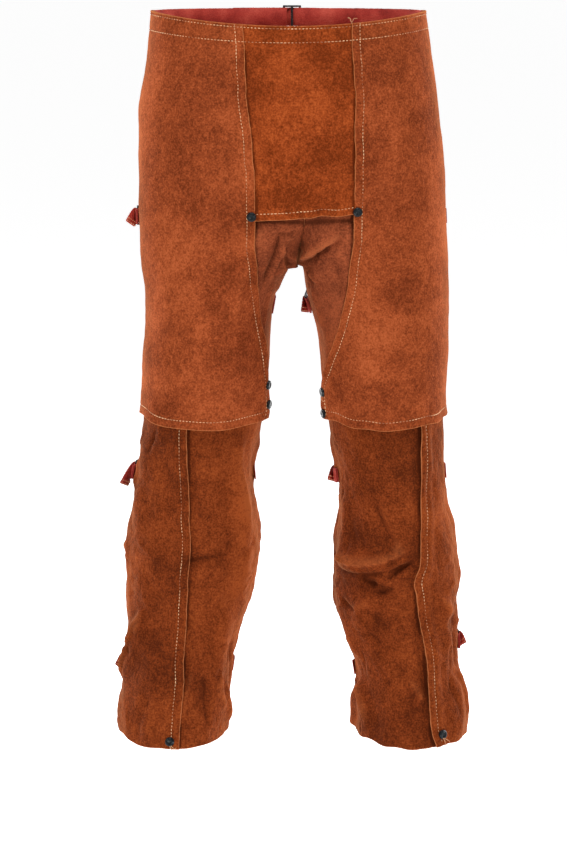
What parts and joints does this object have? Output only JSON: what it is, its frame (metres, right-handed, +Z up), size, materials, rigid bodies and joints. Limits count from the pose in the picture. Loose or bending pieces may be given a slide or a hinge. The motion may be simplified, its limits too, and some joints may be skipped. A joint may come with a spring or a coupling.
{
  "type": "welding chaps",
  "caption": "Seatless split-leather welding chaps, hollow as worn: closed front and legs, apron flap, reinforcing thigh panels, waist belt and webbing straps behind each leg.",
  "frame": {"origin": "middle of the waist opening, at the mean height of the waist edge, where the wearer's waist holds the garment", "axes": "+Z up along the wearer; the front faces -Y; +X to the right in a view of the front"},
  "size_m": [0.4864, 0.2454, 0.9931],
  "materials": {
    "suede_upper": "rust-brown split leather, napped and matt",
    "suede_lower": "darker rust-brown split leather, napped and matt",
    "webbing": "red woven webbing, matt",
    "slide_steel": "dark oxidised steel, satin",
    "snap_black": "black enamel, satin"
  },
  "bodies": {
    "root": {"fly_flap": "suede_upper", "leg_inner_left": "suede_lower", "leg_inner_right": "suede_lower", "leg_outer_left": "suede_lower", "leg_outer_right": "suede_lower", "slide_belt": "slide_steel", "slide_calf_left": "slide_steel", "slide_calf_right": "slide_steel", "slide_knee_left": "slide_steel", "slide_knee_right": "slide_steel", "slide_thigh_left": "slide_steel", "slide_thigh_right": "slide_steel", "snap_flap_left": "snap_black", "snap_flap_right": "snap_black", "snap_hem_left": "snap_black", "snap_hem_right": "snap_black", "snap_knee_lower_left": "snap_black", "snap_knee_lower_right": "snap_black", "snap_knee_upper_left": "snap_black", "snap_knee_upper_right": "snap_black", "strap_calf_left": "webbing", "strap_calf_right": "webbing", "strap_knee_left": "webbing", "strap_knee_right": "webbing", "strap_thigh_left": "webbing", "strap_thigh_right": "webbing", "tab_calf_left": "webbing", "tab_calf_right": "webbing", "tab_knee_left": "webbing", "tab_knee_right": "webbing", "tab_thigh_left": "webbing", "tab_thigh_right": "webbing", "thigh_panel_left": "suede_upper", "thigh_panel_right": "suede_upper", "waist_belt": "webbing"}
  },
  "joints": []
}
